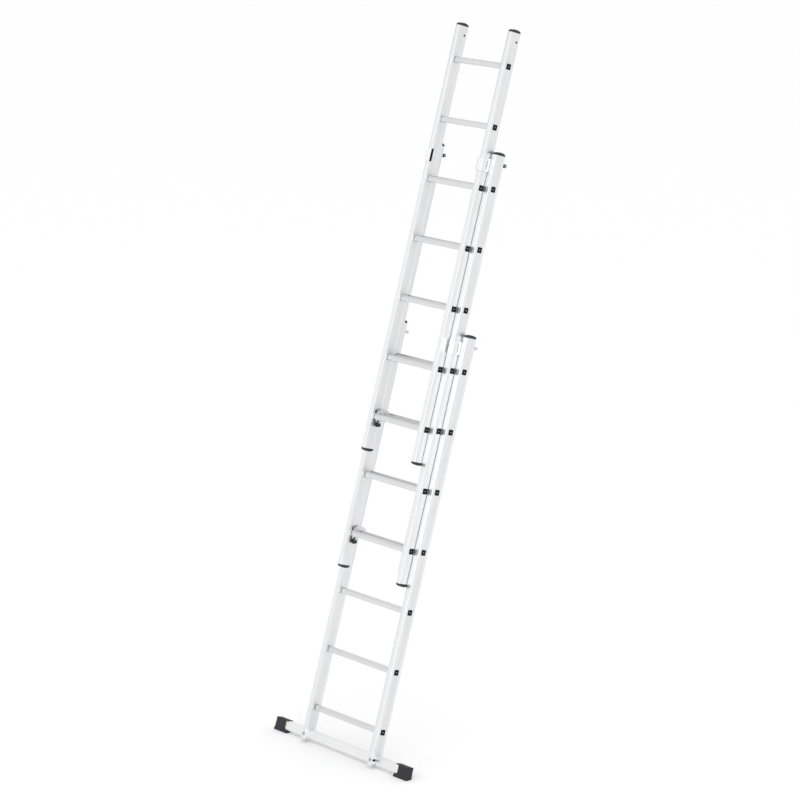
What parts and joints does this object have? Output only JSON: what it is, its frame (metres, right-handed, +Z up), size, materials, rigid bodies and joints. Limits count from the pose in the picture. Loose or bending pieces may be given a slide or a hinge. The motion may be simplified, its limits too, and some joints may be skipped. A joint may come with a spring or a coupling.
{
  "type": "extension ladder",
  "caption": "Push-up extension ladder of three nested box-stile sections with ribbed square rungs, rung hooks with gravity latches, guide brackets and a stabiliser bar on rubber feet.",
  "frame": {"origin": "on the ground at the middle of the ladder's box in X and Y, as it leans", "axes": "+Z up, +X across the ladder, +Y from the climber's side towards the wall it leans on"},
  "size_m": [0.946, 0.9588, 3.2851],
  "materials": {
    "stile_aluminium": "mill-finished extrusion, satin",
    "rung_aluminium": "mill-finished ribbed extrusion, satin",
    "bracket_aluminium": "bright cut extrusion",
    "bar_aluminium": "mill-finished extrusion, satin",
    "cap_plastic": "black moulded plastic",
    "latch_plastic": "black moulded plastic",
    "foot_rubber": "black moulded rubber",
    "stop_plastic": "light grey moulded plastic",
    "hook_zinc": "zinc-plated pressed steel",
    "bolt_zinc": "zinc-plated steel"
  },
  "bodies": {
    "base": {"base_stile_left": "stile_aluminium", "base_stile_right": "stile_aluminium", "base_rung_1": "rung_aluminium", "base_rung_2": "rung_aluminium", "base_rung_3": "rung_aluminium", "base_rung_4": "rung_aluminium", "base_rung_5": "rung_aluminium", "base_rung_6": "rung_aluminium", "base_rung_7": "rung_aluminium", "base_top_cap_left": "cap_plastic", "base_top_cap_right": "cap_plastic", "base_guide_bracket_left": "bracket_aluminium", "base_guide_bracket_right": "bracket_aluminium", "base_bumper_left": "stop_plastic", "base_bumper_right": "stop_plastic", "stabiliser_bar": "bar_aluminium", "bar_bolt_left": "bolt_zinc", "bar_bolt_right": "bolt_zinc", "foot_left": "foot_rubber", "foot_right": "foot_rubber"},
    "middle": {"middle_stile_left": "stile_aluminium", "middle_stile_right": "stile_aluminium", "middle_rung_1": "rung_aluminium", "middle_rung_2": "rung_aluminium", "middle_rung_3": "rung_aluminium", "middle_rung_4": "rung_aluminium", "middle_rung_5": "rung_aluminium", "middle_rung_6": "rung_aluminium", "middle_rung_7": "rung_aluminium", "middle_top_cap_left": "cap_plastic", "middle_top_cap_right": "cap_plastic", "middle_bottom_cap_left": "cap_plastic", "middle_bottom_cap_right": "cap_plastic", "middle_hook_left": "hook_zinc", "middle_hook_right": "hook_zinc", "middle_guide_bracket_left": "bracket_aluminium", "middle_guide_bracket_right": "bracket_aluminium", "middle_bumper_left": "foot_rubber", "middle_bumper_right": "foot_rubber"},
    "fly": {"fly_stile_left": "stile_aluminium", "fly_stile_right": "stile_aluminium", "fly_rung_1": "rung_aluminium", "fly_rung_2": "rung_aluminium", "fly_rung_3": "rung_aluminium", "fly_rung_4": "rung_aluminium", "fly_rung_5": "rung_aluminium", "fly_rung_6": "rung_aluminium", "fly_rung_7": "rung_aluminium", "fly_top_cap_left": "cap_plastic", "fly_top_cap_right": "cap_plastic", "fly_bottom_cap_left": "cap_plastic", "fly_bottom_cap_right": "cap_plastic", "fly_hook_left": "hook_zinc", "fly_hook_right": "hook_zinc"},
    "middle_latch_left": {"middle_latch_left": "latch_plastic"},
    "middle_latch_right": {"middle_latch_right": "latch_plastic"},
    "fly_latch_left": {"fly_latch_left": "latch_plastic"},
    "fly_latch_right": {"fly_latch_right": "latch_plastic"}
  },
  "joints": [
    {"name": "middle_slide", "type": "slide", "parent": "base", "child": "middle", "axis": [0, 0.2924, 0.9563], "range_m": [-0.84, 0.56]},
    {"name": "fly_slide", "type": "slide", "parent": "middle", "child": "fly", "axis": [0, 0.2924, 0.9563], "range_m": [-0.56, 0.84]},
    {"name": "middle_latch_left_swing", "type": "hinge", "parent": "middle", "child": "middle_latch_left", "pos_m": [-0.181, -0.20609, 0.94462], "axis": [1, 0, 0], "range_deg": [-20, 45]},
    {"name": "middle_latch_right_swing", "type": "hinge", "parent": "middle", "child": "middle_latch_right", "pos_m": [0.181, -0.20609, 0.94462], "axis": [1, 0, 0], "range_deg": [-20, 45]},
    {"name": "fly_latch_left_swing", "type": "hinge", "parent": "fly", "child": "fly_latch_left", "pos_m": [-0.1495, -0.08763, 1.48772], "axis": [1, 0, 0], "range_deg": [-20, 45]},
    {"name": "fly_latch_right_swing", "type": "hinge", "parent": "fly", "child": "fly_latch_right", "pos_m": [0.1495, -0.08763, 1.48772], "axis": [1, 0, 0], "range_deg": [-20, 45]}
  ]
}
